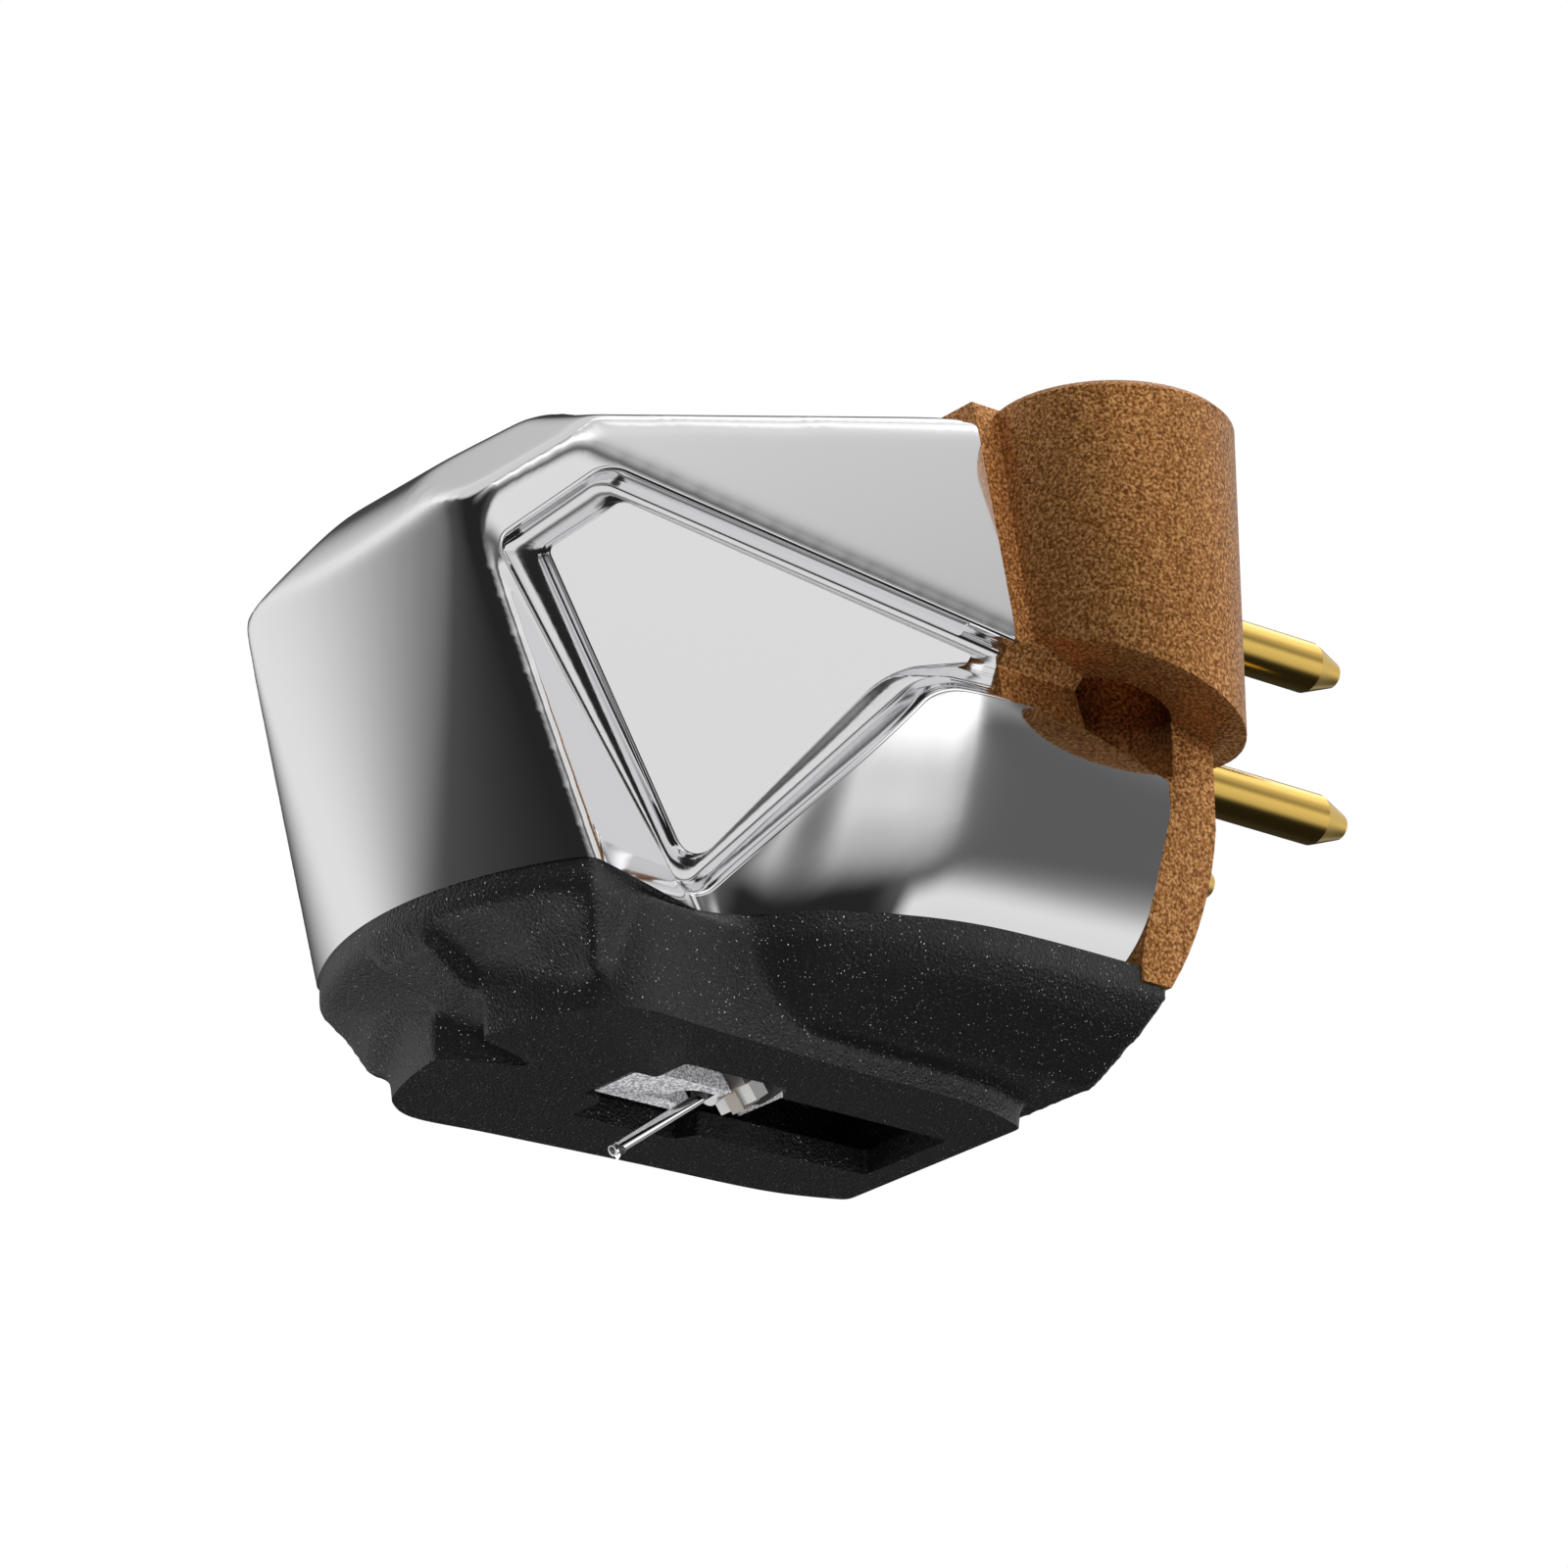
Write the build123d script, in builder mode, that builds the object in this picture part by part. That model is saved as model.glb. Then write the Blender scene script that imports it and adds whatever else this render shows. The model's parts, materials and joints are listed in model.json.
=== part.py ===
from build123d import *
from math import cos, radians, sin, tan
import os

os.makedirs("parts", exist_ok=True)

# A moving-coil stylus cartridge for a turntable arm. Millimetres, +Z up, the nose points to -Y.
# The origin lies midway between the two mounting hole axes, on the plane that meets the headshell.

# Mounting: two tapped bosses at the standard half-inch spacing
hole_spacing = 12.7
thread_radius = 1.25
thread_mouth = 0.15
boss_radius = 2.95
boss_edge = 0.35
boss_reach = 6.886
thread_depth = 8.6
boss_slope_side = -0.123
boss_slope_rear = -0.278

# Heights below the mounting plane
shell_top = -0.45
rim_z = -13.4
cover_height = 2.8
plate_z = rim_z - cover_height

# Flat side of the polished shell: x = side_base + side_sweep * y + side_lean * z
side_base = 9.608
side_sweep = 0.2166
side_lean = 0.2762
# Flared facet between the flat side and the front face
flare_base = -2.484
flare_sweep = -0.342
flare_lean = -0.217

# Stations along the shell, from the nose to the face that meets the rear frame
flange_y = -3.55
shoulder_y = -13.9
shoulder_edge_x = 5.71
shoulder_edge_z = -3.2
flange_edge_x = 5.89
facet_rear_z = -6.3
roll_width = 1.71
roll_rise = 1.05
nose_edge = (4.84, -15.9, -4.79)
flare_end_y = -8
hood_line = [
    (-17.45, -6.9),
    (-17.0, -5.5),
    (-16.1, -3.9),
    (-14.5, -2.6),
    (-12.5, -1.35),
    (-10.3, -0.75),
    (-7.0, -0.5),
    (flange_y, shell_top),
]

# Front face: part of an upright cone
nose_centre_y = -6.3
nose_rim_radius = 9.15
nose_rake = 11.8

# Lower rear of the shell: how far it swells beyond the flat side at the rim and at its upper edge.
# Each pair is a place along the shell and a swell.
swell_top_z = -7.7
swell_low = [(-10.3, 0.16), (-9.05, 0.35), (-7.75, 1.37), (-6.5, 2.0), (-4.6, 1.94), (0.95, 0.87)]
swell_high = [(-8.6, -2.42), (-7.07, -1.22), (-6.13, -0.43), (-4.73, -0.05), (-3.8, 0.0), (0.95, -0.59)]

# Shell wall and the triangular groove that leaves a raised panel on each flat side
shell_wall = 0.6
groove_depth = 0.55
groove_y = -10.0
groove_z = -8.0
side_wall = shell_wall + groove_depth

# Rear frame
wall_front_y = 0.8
wall_rear_y = 2.3
wall_foot_front_y = -0.12
wall_foot_rear_y = 0.78
wall_knee_z = -9.6
wall_foot_reach = 0.35
wall_foot_z = rim_z - wall_foot_reach
wall_foot_lean = 0.1
wall_waist_y = 1.85
wall_waist_z = -11.6
wall_top_z = -6.5
tail_swell = 0.97
ledge_top_z = -5.8
ledge_edge_z = -6.6
ledge_front_step = 0.55
ledge_rear_step = 0.67
ledge_overlap = 0.1
crest_front_z = -8.0
crest_rear_z = -8.8
crest_tuck = 0.33
ledge_run_in = 1.1
ledge_drop = 0.5
block_half_width = 3.7
block_corner = 0.6
block_rear_y = 4.4
block_bottom_z = -8.4
block_top_z = -0.6
pocket_front_y = -1.9
pocket_rear_y = 1.5
pocket_half_width = 3.2
pocket_top_z = -1.2
flange_half_width = 5.75
flange_step = 0.15
flange_low_z = -6.9

# Contact pins: the usual 1.27 mm pins that take the arm's lead clips
pin_radius = 0.635
pin_reach = 6.12
pin_tip_length = 0.85
pin_tip_radius = 0.32
pin_x = 2.4
pin_upper_z = -2.12
pin_lower_z = -6.09
pin_tail = 1.1
pin_shank_radius = 0.45
bush_wall = 0.4

# Bottom cover: heights of its levels, and each level's outline as pairs of a place along the cover and
# how far it stands outside the shell's rim there
cover_wall = 0.6
lip_height = 0.75
shoulder_height = 1.35
step_height = 1.75
lip_out = 0.1
shoulder_in = 0.55
step_in = 1.6
plate_in = 1.83
nose_front_y = nose_centre_y - nose_rim_radius
plate_front_y = nose_front_y + plate_in
lip_line = [
    (-13.9, -0.03),
    (-11.75, -0.24),
    (-10.3, -0.05),
    (-9.0, 0.39),
    (-7.75, 1.42),
    (-4.5, 1.97),
    (0.75, 0.93),
]
shoulder_line = [
    (-13.5, -0.34),
    (-11.9, -0.19),
    (-10.3, 0.05),
    (-9.0, 0.44),
    (-7.6, 1.04),
    (-4.5, 1.22),
    (0.55, 0.17),
]
step_line = [(-13.3, -0.82), (-12.0, -0.03), (-9.8, 0.42), (-8.0, 0.18), (-6.0, -0.11), (0.3, -1.47)]
plate_line = [(-13.35, -1.09), (-12.1, -0.01), (-9.8, 0.57), (-6.0, -0.51), (-2.3, -1.51), (-0.1, -2.54)]
hollow_front_y = -11.0
hollow_rear_y = -0.9
hollow_half_width = 2.6
hollow_corner = 1.0
slot_front_y = -9.75
slot_rear_y = -1.2
slot_wide = 2.1
slot_narrow = 1.5
slot_step_y = -6.0
slot_nib = 1.0
slot_nib_y = -9.1
slot_slant = 0.3
slot_corner = 0.12
ramp_tip_y = -11.4
ramp_half_width = 0.8
ramp_angle = 25

# Generator: the pivot of the cantilever lies above the plate, and everything else is placed from it
cantilever_angle = 35.7
pivot_y = -5.7
pivot_depth = 1.24
pivot_z = plate_z + pivot_depth
stylus_reach = 4.58
stylus_drop = 0.3
stylus_radius = 0.07
stylus_length = 0.42
cantilever_radius = 0.135
cantilever_bore = 0.075
cantilever_tip = 0.16
cantilever_end = stylus_reach + cantilever_tip
armature_size = 1.3
armature_thickness = 0.4
armature_centre = 0.65
armature_bore = 0.11
coil_wall = 0.08
coil_width = 0.42
collar_radius = 0.3
collar_start = 1.03
collar_end = 1.5
damper_radius = 0.85
damper_front = 0.16
damper_rear = -0.28
damper_hole = 0.2
wire_radius = 0.06
wire_front = 0.55
wire_rear = -2.6
holder_radius = 0.6
holder_front = -0.36
holder_rear = -2.96
holder_clearance = 0.02
pole_half_width = 1.5
magnet_half_width = 2.2
magnet_front = 1.9
magnet_rear = 1.1
magnet_lift = 1.66
magnet_height = 2.7
magnet_front_y = pivot_y - magnet_front
magnet_rear_y = pivot_y + magnet_rear
magnet_bottom_z = pivot_z + magnet_lift
magnet_top_z = magnet_bottom_z + magnet_height
front_pole_reach = 3.7
front_pole_gap = 1.2
front_pole_drop = 1.08
front_pole_y = pivot_y - front_pole_reach
front_pole_tip_y = pivot_y - front_pole_gap
front_pole_tip_z = pivot_z - front_pole_drop
front_pole_tip_half = 0.87
front_pole_arch = 0.5
finger_height = 2.2
rear_pole_reach = 2.8
rear_pole_y = pivot_y + rear_pole_reach
rear_pole_half = 0.95
rear_pole_brow = 1.2
rear_pole_run = 1.4
rear_pole_heel = 0.8
rear_pole_gap = 0.1
bracket_thickness = 0.9
bracket_top_z = -6.6
screw_radius = 0.45
screw_head_radius = 0.75
screw_head_height = 0.6
screw_length = 1.3
screw_x = 1.5
screw_z = -7.6
thread_clearance = 0.02
clamp_radius = 0.4
clamp_at = -1.6
lead_radius = 0.08
lead_y = -0.8
lead_pitch = 0.6
lead_rise = 0.4
lead_dip = 0.8


def side_x(y, z):
    """Half width of the flat side at a place along the shell and a height."""
    return side_base + side_sweep * y + side_lean * z


def flare_x(y, z):
    """Half width of the flared front facet."""
    return flare_base + flare_sweep * y + flare_lean * z


def rim_x(y):
    """Half width of the shell's rim, from its flat side or its flare, whichever stands out further."""
    return max(side_x(y, rim_z), flare_x(y, rim_z))


# Widths of the frame that follow the shell
wall_half_width = side_x(wall_front_y, rim_z) + tail_swell
flange_low_half_width = side_x(flange_y, facet_rear_z) - flange_step
crest_front = (side_x(flange_y, crest_front_z), crest_front_z)
crest_rear = (side_x(wall_front_y, crest_rear_z) - crest_tuck, crest_rear_z)
crest_slope = (crest_rear_z - crest_front_z) / (wall_front_y - flange_y)


def plane_through(first, second, third):
    """Plane through three points. The normal follows the right-hand rule."""
    start = Vector(first)
    along = Vector(second) - start
    return Plane(origin=start, x_dir=along, z_dir=along.cross(Vector(third) - start))


def wedge(width_at, inset, rear_y):
    """Block between the middle plane and a flat flank that follows width_at."""
    nose_y = hood_line[0][0]
    flank = plane_through(
        (width_at(0, 0), 0, 0),
        (width_at(nose_y, 0), nose_y, 0),
        (width_at(0, rim_z), 0, rim_z),
    )
    with BuildPart() as block:
        with BuildSketch(Plane.XY.offset(rim_z)):
            with Locations((nose_rim_radius, (nose_y + rear_y) / 2)):
                Rectangle(2 * nose_rim_radius, rear_y - nose_y)
        extrude(amount=-rim_z)
        split(bisect_by=flank.offset(-inset), keep=Keep.BOTTOM)
    return block.part


def nose_body(inset, flared):
    """The shell's front body as a solid, with every face moved in by inset."""
    shoulder = (shoulder_edge_x, shoulder_y, shoulder_edge_z)
    flange_edge = (flange_edge_x, flange_y, shell_top)
    facet_end = (side_x(flange_y, facet_rear_z), flange_y, facet_rear_z)
    roll = (shoulder_edge_x - roll_width, shoulder_y, shoulder_edge_z + roll_rise)
    with BuildPart() as body:
        add(wedge(side_x, inset, flange_y))
        if flared:
            add(wedge(flare_x, inset, flare_end_y))
        split(bisect_by=plane_through(shoulder, facet_end, flange_edge).offset(-inset), keep=Keep.BOTTOM)
        split(bisect_by=plane_through(shoulder, flange_edge, roll).offset(-inset), keep=Keep.BOTTOM)
        split(bisect_by=plane_through(shoulder, roll, nose_edge).offset(-inset), keep=Keep.BOTTOM)
        mirror(about=Plane.YZ)
        with BuildSketch(Plane.YZ):
            with BuildLine():
                hood = Spline(*[(y, z - inset) for y, z in hood_line])
                Polyline(hood @ 1, (flange_y, rim_z), (hood_line[0][0], rim_z), hood @ 0)
            make_face()
        extrude(amount=nose_rim_radius, both=True, mode=Mode.INTERSECT)
        low_radius = nose_rim_radius - inset
        with BuildSketch(Plane.XZ.offset(-nose_centre_y)):
            with BuildLine():
                Polyline(
                    (0, rim_z),
                    (low_radius, rim_z),
                    (low_radius - rim_z * tan(radians(nose_rake)), 0),
                    (0, 0),
                    close=True,
                )
            make_face()
        revolve(axis=Axis((0, nose_centre_y, 0), (0, 0, 1)), mode=Mode.INTERSECT)
    return body.part


def bulge_body(inset):
    """The lower rear body as a solid: it swells out of the flat side from the waist to the rear."""
    with BuildPart() as body:
        for z, line in ((rim_z, swell_low), (swell_top_z, swell_high)):
            right = [(side_x(y, z) + swell - inset, y) for y, swell in line]
            with BuildSketch(Plane.XY.offset(z)):
                with BuildLine():
                    Line((-right[0][0], right[0][1]), right[0])
                    Spline(*right)
                    Line(right[-1], (-right[-1][0], right[-1][1]))
                    Spline(*[(-x, y) for x, y in reversed(right)])
                make_face()
        loft(ruled=True)
    return body.part


# Shared forms of the shell and the frame
with BuildPart() as ledge_form:
    for y, step, crest in (
        (flange_y, ledge_front_step, crest_front),
        (wall_front_y + ledge_overlap, ledge_rear_step, crest_rear),
    ):
        top_x = flange_low_half_width - step
        inner_x = crest[0] - ledge_run_in
        with BuildSketch(Plane.XZ.offset(-y)):
            with BuildLine():
                Polyline(
                    (-top_x, ledge_top_z),
                    (top_x, ledge_top_z),
                    (top_x, ledge_edge_z),
                    crest,
                    (inner_x, crest[1] - ledge_drop),
                    (-inner_x, crest[1] - ledge_drop),
                    (-crest[0], crest[1]),
                    (-top_x, ledge_edge_z),
                    close=True,
                )
            make_face()
    loft(ruled=True)


def wall_body(half_width):
    """Upright rear wall of the frame, seen from the side as a leaning post with a foot."""
    with BuildPart() as wall:
        with BuildSketch(Plane.YZ):
            with BuildLine():
                front = Line((wall_front_y, wall_top_z), (wall_front_y, wall_knee_z))
                lower_front = Line(front @ 1, (wall_foot_front_y, rim_z))
                inner_foot = Line(lower_front @ 1, (wall_foot_front_y + wall_foot_lean, wall_foot_z))
                foot = Line(inner_foot @ 1, (wall_foot_rear_y, wall_foot_z))
                back = Line((wall_rear_y, wall_knee_z), (wall_rear_y, wall_top_z))
                ThreePointArc(foot @ 1, (wall_waist_y, wall_waist_z), back @ 0)
                Line(back @ 1, front @ 0)
            make_face()
        extrude(amount=half_width, both=True)
    return wall.part


# Side plane of the shell, for the groove: x runs rearward, y runs up
side_normal = Vector(1, -side_sweep, -side_lean).normalized()
side_plane = Plane(
    origin=(side_x(groove_y, groove_z), groove_y, groove_z),
    x_dir=(side_sweep, 1, 0),
    z_dir=side_normal,
)

with BuildPart() as groove_form:
    with BuildSketch(side_plane.offset(-groove_depth)):
        with BuildLine():
            FilletPolyline(
                (-6.15, 1.75),
                (-3.6, 4.0),
                (8.7, 1.32),
                (8.7, 0.05),
                (4.95, 0.25),
                (-0.62, -5.7),
                radius=[0.5, 1.0, 0.1, 0.1, 1.2, 0.8],
                close=True,
            )
        make_face()
        with BuildLine():
            FilletPolyline(
                (-4.85, 1.78),
                (-3.15, 3.2),
                (5.75, 1.2),
                (5.6, 0.9),
                (3.7, 0.45),
                (-0.62, -4.75),
                radius=[0.25, 0.5, 0.1, 0.1, 2.2, 0.6],
                close=True,
            )
        make_face(mode=Mode.SUBTRACT)
    extrude(amount=groove_depth + 0.6)
    mirror(about=Plane.YZ)

# Polished shell: one hollow piece, open below and behind
with BuildPart() as polished_shell:
    add(bulge_body(0))
    crest_cut = Plane(
        origin=(0, flange_y, crest_front[1]),
        x_dir=(1, 0, 0),
        z_dir=(0, -crest_slope, 1),
    )
    split(bisect_by=crest_cut, keep=Keep.BOTTOM)
    add(nose_body(0, True))
    add(nose_body(side_wall, False), mode=Mode.SUBTRACT)
    add(bulge_body(side_wall), mode=Mode.SUBTRACT)
    add(groove_form.part, mode=Mode.SUBTRACT)
    add(ledge_form.part, mode=Mode.SUBTRACT)
    add(wall_body(nose_rim_radius), mode=Mode.SUBTRACT)
polished_shell.part.label = "polished_shell"
export_step(polished_shell.part, "parts/polished_shell.step")

# Rear frame: one casting with the two mounting bosses, the ledge, the rear wall and the pin block
with BuildPart() as boss_form:
    with BuildSketch(Plane.XY):
        with Locations((hole_spacing / 2, 0)):
            Circle(boss_radius)
    extrude(amount=block_bottom_z)
    chamfer(boss_form.edges().filter_by(GeomType.CIRCLE).group_by(Axis.Z)[-1], boss_edge / 2)
    underside = Plane(
        origin=(hole_spacing / 2, 0, -boss_reach),
        x_dir=(1, 0, boss_slope_side),
        z_dir=(-boss_slope_side, -boss_slope_rear, 1),
    )
    split(bisect_by=underside, keep=Keep.TOP)
    mirror(about=Plane.YZ)

with BuildPart() as rear_frame:
    with BuildSketch(Plane.XZ.offset(-flange_y)):
        with BuildLine():
            Polyline(
                (-flange_half_width, 0),
                (flange_half_width, 0),
                (flange_edge_x, shell_top),
                (flange_low_half_width, facet_rear_z),
                (flange_low_half_width - 0.6, flange_low_z),
                (0.6 - flange_low_half_width, flange_low_z),
                (-flange_low_half_width, facet_rear_z),
                (-flange_edge_x, shell_top),
                close=True,
            )
        make_face()
    extrude(amount=flange_y - wall_rear_y)
    add(ledge_form.part)
    add(wall_body(wall_half_width))
    with BuildSketch(Plane.XY.offset(block_bottom_z)):
        with Locations((0, (wall_front_y + block_rear_y) / 2)):
            Rectangle(2 * block_half_width, block_rear_y - wall_front_y)
    extrude(amount=block_top_z - block_bottom_z)
    fillet(rear_frame.edges().filter_by(Axis.Z).group_by(Axis.Y)[-1], block_corner)
    add(boss_form.part)
    # Pocket that takes the pin tails and the lead wires, open to the generator below
    with BuildSketch(Plane.XY.offset(pocket_top_z)):
        with Locations((0, (pocket_front_y + pocket_rear_y) / 2)):
            Rectangle(2 * pocket_half_width, pocket_rear_y - pocket_front_y)
    extrude(amount=wall_knee_z - pocket_top_z, mode=Mode.SUBTRACT)
    with Locations((hole_spacing / 2, 0, 0), (-hole_spacing / 2, 0, 0)):
        Cylinder(thread_radius, 2 * thread_depth, mode=Mode.SUBTRACT)
        Cone(thread_radius + thread_mouth, thread_radius, 2 * thread_mouth, mode=Mode.SUBTRACT)
    with BuildSketch(Plane.XZ.offset(-block_rear_y)):
        with Locations(*[(x, z) for x in (-pin_x, pin_x) for z in (pin_upper_z, pin_lower_z)]):
            Circle(pin_radius + bush_wall)
    extrude(amount=block_rear_y - pocket_rear_y, mode=Mode.SUBTRACT)
    with BuildSketch(Plane.XZ.offset(-flange_y)):
        with Locations((-screw_x, screw_z), (screw_x, screw_z)):
            Circle(screw_radius + thread_clearance)
    extrude(amount=flange_y - pocket_front_y, mode=Mode.SUBTRACT)
rear_frame.part.label = "rear_frame"
export_step(rear_frame.part, "parts/rear_frame.step")

# Contact pins, each in its own insulating bush
for name, x, z in (
    ("upper_left", -pin_x, pin_upper_z),
    ("upper_right", pin_x, pin_upper_z),
    ("lower_left", -pin_x, pin_lower_z),
    ("lower_right", pin_x, pin_lower_z),
):
    with BuildPart() as contact_pin:
        with BuildSketch(Plane.YZ.offset(x)):
            with BuildLine():
                Polyline(
                    (pocket_rear_y - pin_tail, z),
                    (pocket_rear_y - pin_tail, z + pin_shank_radius),
                    (block_rear_y, z + pin_shank_radius),
                    (block_rear_y, z + pin_radius),
                    (block_rear_y + pin_reach - pin_tip_length, z + pin_radius),
                    (block_rear_y + pin_reach, z + pin_tip_radius),
                    (block_rear_y + pin_reach, z),
                    close=True,
                )
            make_face()
        revolve(axis=Axis((x, 0, z), (0, 1, 0)))
    contact_pin.part.label = f"contact_pin_{name}"
    export_step(contact_pin.part, f"parts/contact_pin_{name}.step")

with BuildPart() as pin_bushes:
    with BuildSketch(Plane.XZ.offset(-block_rear_y)):
        with Locations(*[(x, z) for x in (-pin_x, pin_x) for z in (pin_upper_z, pin_lower_z)]):
            Circle(pin_radius + bush_wall)
            Circle(pin_shank_radius, mode=Mode.SUBTRACT)
    extrude(amount=block_rear_y - pocket_rear_y)
pin_bushes.part.label = "pin_bushes"
export_step(pin_bushes.part, "parts/pin_bushes.step")


def cover_body():
    """Bottom cover as a solid: lip, rounded shoulder, then the raised middle with the flat plate."""
    levels = (
        (rim_z, lip_line, nose_front_y - lip_out),
        (rim_z - lip_height, lip_line, nose_front_y - lip_out),
        (rim_z - shoulder_height, shoulder_line, nose_front_y + shoulder_in),
        (rim_z - step_height, step_line, nose_front_y + step_in),
        (plate_z, plate_line, plate_front_y),
    )
    with BuildPart() as body:
        for z, line, front_y in levels:
            right = [(rim_x(y) + out, y) for y, out in line]
            left = [(-x, y) for x, y in reversed(right)]
            with BuildSketch(Plane.XY.offset(z)):
                with BuildLine():
                    ThreePointArc(left[-1], (0, front_y), right[0])
                    Spline(*right)
                    Line(right[-1], left[0])
                    Spline(*left)
                make_face()
        loft(ruled=True)
    return body.part


# Bottom cover: lip against the shell's rim, raised middle, sight ramp and the slot of the generator
with BuildPart() as base_cover:
    add(cover_body())
    with BuildSketch(Plane.XY.offset(rim_z)):
        with Locations((0, (hollow_front_y + hollow_rear_y) / 2)):
            RectangleRounded(2 * hollow_half_width, hollow_rear_y - hollow_front_y, hollow_corner)
    extrude(amount=plate_z + cover_wall - rim_z, mode=Mode.SUBTRACT)
    add(wall_body(nose_rim_radius), mode=Mode.SUBTRACT)
    ramp_plane = Plane(
        origin=(0, ramp_tip_y, plate_z),
        x_dir=(1, 0, 0),
        z_dir=(0, -sin(radians(ramp_angle)), -cos(radians(ramp_angle))),
    )
    with BuildSketch(ramp_plane):
        ramp_run = 1.1 * (plate_front_y - ramp_tip_y)
        Polygon((0, 0), (ramp_half_width, -ramp_run), (-ramp_half_width, -ramp_run), align=None)
    extrude(amount=2, mode=Mode.SUBTRACT)
    with BuildSketch(Plane.XY.offset(plate_z)):
        with BuildLine():
            FilletPolyline(
                (slot_nib, slot_front_y),
                (slot_nib, slot_nib_y),
                (slot_wide, slot_nib_y),
                (slot_wide, slot_step_y - slot_slant),
                (slot_narrow, slot_step_y),
                (slot_narrow, slot_rear_y),
                (-slot_narrow, slot_rear_y),
                (-slot_narrow, slot_step_y),
                (-slot_wide, slot_step_y - slot_slant),
                (-slot_wide, slot_nib_y),
                (-slot_nib, slot_nib_y),
                (-slot_nib, slot_front_y),
                radius=slot_corner,
                close=True,
            )
        make_face()
    extrude(amount=2 * cover_wall, mode=Mode.SUBTRACT)
base_cover.part.label = "base_cover"
export_step(base_cover.part, "parts/base_cover.step")

# Generator plane: z runs along the cantilever to the stylus, y runs up and forward
lean = radians(cantilever_angle)
generator = Plane(
    origin=(0, pivot_y, pivot_z),
    x_dir=(1, 0, 0),
    z_dir=(0, -cos(lean), -sin(lean)),
)


def tube(radius, bore, start, end):
    """Round tube on the generator's axis between two distances from the pivot."""
    with BuildPart() as body:
        with BuildSketch(generator.offset(start)):
            Circle(radius)
            if bore > 0:
                Circle(bore, mode=Mode.SUBTRACT)
        extrude(amount=end - start)
    return body.part


def from_pivot(run, drop):
    """Point in the YZ plane at a distance along the axis and another square to it, down and back."""
    y = pivot_y - run * cos(lean) + drop * sin(lean)
    z = pivot_z - run * sin(lean) - drop * cos(lean)
    return (y, z)


with BuildPart() as magnet:
    with BuildSketch(Plane.XY.offset(magnet_bottom_z)):
        with Locations((0, (magnet_front_y + magnet_rear_y) / 2)):
            Rectangle(2 * magnet_half_width, magnet_rear_y - magnet_front_y)
    extrude(amount=magnet_top_z - magnet_bottom_z)
magnet.part.label = "magnet"
export_step(magnet.part, "parts/magnet.step")

# Front pole: a block on the magnet that narrows to a finger, forked round the cantilever
with BuildPart() as front_pole:
    with BuildSketch(Plane.YZ):
        with BuildLine():
            Polyline(
                (front_pole_y, magnet_top_z),
                (magnet_front_y, magnet_top_z),
                (magnet_front_y, front_pole_tip_z + (magnet_front_y - front_pole_tip_y) / -tan(lean)),
                (front_pole_tip_y, front_pole_tip_z),
                (front_pole_y, front_pole_tip_z),
                close=True,
            )
        make_face()
    extrude(amount=pole_half_width, both=True)
    with BuildSketch(Plane.XZ.offset(-front_pole_y)):
        for side in (-1, 1):
            with Locations((side * (front_pole_tip_half + pole_half_width), front_pole_tip_z)):
                Rectangle(2 * pole_half_width, 2 * finger_height)
    extrude(amount=front_pole_y - front_pole_tip_y, mode=Mode.SUBTRACT)
    with BuildSketch(Plane.XY.offset(front_pole_tip_z)):
        with Locations((0, front_pole_tip_y)):
            SlotCenterPoint((0, 0), (0, -front_pole_arch), 2 * front_pole_arch)
    extrude(amount=magnet_bottom_z - front_pole_tip_z, mode=Mode.SUBTRACT)
front_pole.part.label = "front_pole"
export_step(front_pole.part, "parts/front_pole.step")

# Rear pole: leans along the axis behind the damper and carries the holder in a bore
with BuildPart() as rear_pole:
    with BuildSketch(Plane.YZ):
        with BuildLine():
            Polyline(
                from_pivot(holder_front, rear_pole_half),
                from_pivot(holder_front - rear_pole_run, rear_pole_half),
                (rear_pole_y, magnet_bottom_z - rear_pole_heel),
                (rear_pole_y, magnet_top_z),
                (magnet_rear_y, magnet_top_z),
                (magnet_rear_y, magnet_bottom_z - rear_pole_gap),
                (magnet_rear_y - rear_pole_half, magnet_bottom_z - rear_pole_gap),
                from_pivot(holder_front, -rear_pole_brow),
                close=True,
            )
        make_face()
    extrude(amount=pole_half_width, both=True)
    bore_end = holder_rear - rear_pole_run
    add(tube(holder_radius + holder_clearance, 0, bore_end, holder_front), mode=Mode.SUBTRACT)
    clamp_y, clamp_z = from_pivot(clamp_at, 0)
    with BuildSketch(Plane.YZ):
        with Locations((clamp_y, clamp_z)):
            Circle(clamp_radius + thread_clearance)
    extrude(amount=pole_half_width, mode=Mode.SUBTRACT)
rear_pole.part.label = "rear_pole"
export_step(rear_pole.part, "parts/rear_pole.step")

with BuildPart() as holder_clamp_screw:
    with BuildSketch(Plane.YZ.offset(holder_radius)):
        with Locations((clamp_y, clamp_z)):
            Circle(clamp_radius)
    extrude(amount=pole_half_width - holder_radius)
    with BuildSketch(Plane.YZ.offset(pole_half_width)):
        with Locations((clamp_y, clamp_z)):
            Rectangle(2 * clamp_radius, clamp_radius / 3)
    extrude(amount=-clamp_radius / 2, mode=Mode.SUBTRACT)
holder_clamp_screw.part.label = "holder_clamp_screw"
export_step(holder_clamp_screw.part, "parts/holder_clamp_screw.step")

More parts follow.
